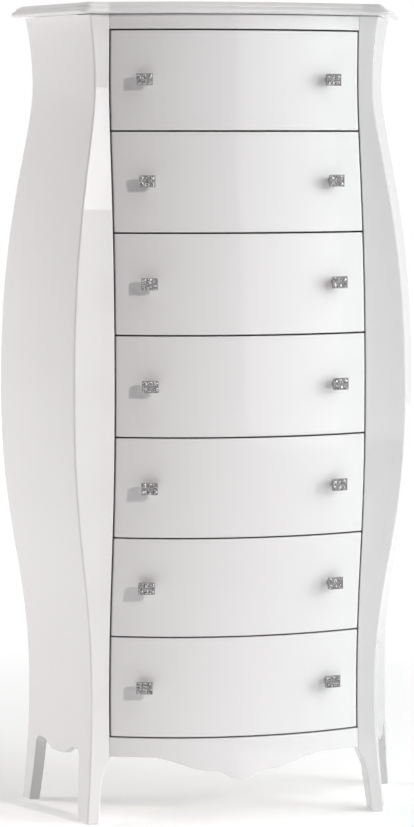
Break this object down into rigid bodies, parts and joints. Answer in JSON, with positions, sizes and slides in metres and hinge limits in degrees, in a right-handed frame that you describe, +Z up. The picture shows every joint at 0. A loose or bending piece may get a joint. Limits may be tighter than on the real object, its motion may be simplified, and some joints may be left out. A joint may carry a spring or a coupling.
{
  "type": "bombe chest of drawers",
  "caption": "Tall bombe chest with bowed drawer fronts between swelling posts, a moulded top, a shaped apron, sabre legs and small square crystal knobs; the drawers slide out.",
  "frame": {"origin": "centre of the bounding box's base, on the floor", "axes": "+Z up, -Y out of the drawer fronts, +X to the right of someone at the back"},
  "size_m": [0.6946, 0.3148, 1.298],
  "materials": {
    "white_lacquer": "high gloss white lacquer",
    "sealed_board": "matt sealed board",
    "drawer_wood": "satin oiled wood",
    "crystal_and_chrome": "polished bezel with clear faceted stones"
  },
  "bodies": {
    "carcass": {"back_left_post": "white_lacquer", "back_panel": "sealed_board", "back_right_post": "white_lacquer", "bottom_board": "sealed_board", "frieze_rail": "white_lacquer", "front_apron": "white_lacquer", "front_left_post": "white_lacquer", "front_right_post": "white_lacquer", "left_runner_frame": "sealed_board", "left_side_panel": "white_lacquer", "lower_back_rail": "sealed_board", "right_runner_frame": "sealed_board", "right_side_panel": "white_lacquer", "top_panel": "white_lacquer", "upper_back_rail": "sealed_board"},
    "drawer_1": {"drawer_1_base": "drawer_wood", "drawer_1_box": "drawer_wood", "drawer_1_front": "white_lacquer", "drawer_1_left_knob": "crystal_and_chrome", "drawer_1_right_knob": "crystal_and_chrome"},
    "drawer_2": {"drawer_2_base": "drawer_wood", "drawer_2_box": "drawer_wood", "drawer_2_front": "white_lacquer", "drawer_2_left_knob": "crystal_and_chrome", "drawer_2_right_knob": "crystal_and_chrome"},
    "drawer_3": {"drawer_3_base": "drawer_wood", "drawer_3_box": "drawer_wood", "drawer_3_front": "white_lacquer", "drawer_3_left_knob": "crystal_and_chrome", "drawer_3_right_knob": "crystal_and_chrome"},
    "drawer_4": {"drawer_4_base": "drawer_wood", "drawer_4_box": "drawer_wood", "drawer_4_front": "white_lacquer", "drawer_4_left_knob": "crystal_and_chrome", "drawer_4_right_knob": "crystal_and_chrome"},
    "drawer_5": {"drawer_5_base": "drawer_wood", "drawer_5_box": "drawer_wood", "drawer_5_front": "white_lacquer", "drawer_5_left_knob": "crystal_and_chrome", "drawer_5_right_knob": "crystal_and_chrome"},
    "drawer_6": {"drawer_6_base": "drawer_wood", "drawer_6_box": "drawer_wood", "drawer_6_front": "white_lacquer", "drawer_6_left_knob": "crystal_and_chrome", "drawer_6_right_knob": "crystal_and_chrome"},
    "drawer_7": {"drawer_7_base": "drawer_wood", "drawer_7_box": "drawer_wood", "drawer_7_front": "white_lacquer", "drawer_7_left_knob": "crystal_and_chrome", "drawer_7_right_knob": "crystal_and_chrome"}
  },
  "joints": [
    {"name": "drawer_1_slide", "type": "slide", "parent": "carcass", "child": "drawer_1", "axis": [0, -1, 0], "range_m": [0, 0.14]},
    {"name": "drawer_2_slide", "type": "slide", "parent": "carcass", "child": "drawer_2", "axis": [0, -1, 0], "range_m": [0, 0.14]},
    {"name": "drawer_3_slide", "type": "slide", "parent": "carcass", "child": "drawer_3", "axis": [0, -1, 0], "range_m": [0, 0.14]},
    {"name": "drawer_4_slide", "type": "slide", "parent": "carcass", "child": "drawer_4", "axis": [0, -1, 0], "range_m": [0, 0.14]},
    {"name": "drawer_5_slide", "type": "slide", "parent": "carcass", "child": "drawer_5", "axis": [0, -1, 0], "range_m": [0, 0.14]},
    {"name": "drawer_6_slide", "type": "slide", "parent": "carcass", "child": "drawer_6", "axis": [0, -1, 0], "range_m": [0, 0.14]},
    {"name": "drawer_7_slide", "type": "slide", "parent": "carcass", "child": "drawer_7", "axis": [0, -1, 0], "range_m": [0, 0.14]}
  ]
}
